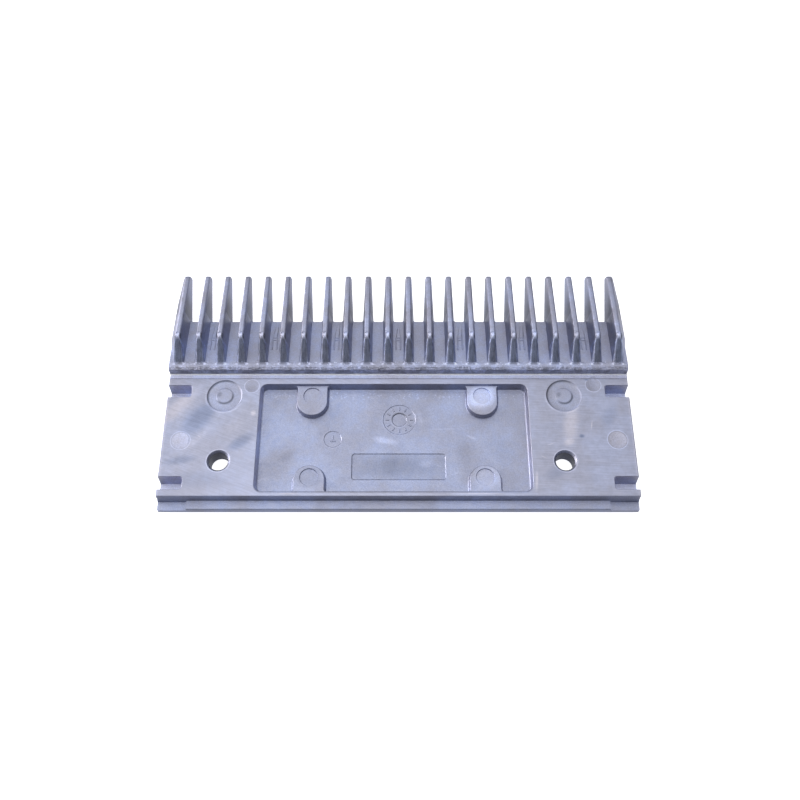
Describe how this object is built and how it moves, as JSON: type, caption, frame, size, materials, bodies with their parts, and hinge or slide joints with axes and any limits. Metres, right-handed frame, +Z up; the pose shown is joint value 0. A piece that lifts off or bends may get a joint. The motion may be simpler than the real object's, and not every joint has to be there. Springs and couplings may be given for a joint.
{
  "type": "escalator comb plate",
  "caption": "Die-cast aluminium escalator comb plate with tapered teeth, lying tread side down with its ribbed pocket and machined mounting seats up.",
  "frame": {"origin": "middle of the footprint, on the plane of the tread ridge tops that the plate lies on", "axes": "+X across the comb teeth, +Y towards the tooth tips, +Z up out of the mounting underside"},
  "size_m": [0.1994, 0.1084, 0.0222],
  "materials": {
    "cast_aluminium": "as-cast grey aluminium, with two milled mounting seats"
  },
  "bodies": {
    "root": {"comb_plate": "cast_aluminium"}
  },
  "joints": []
}
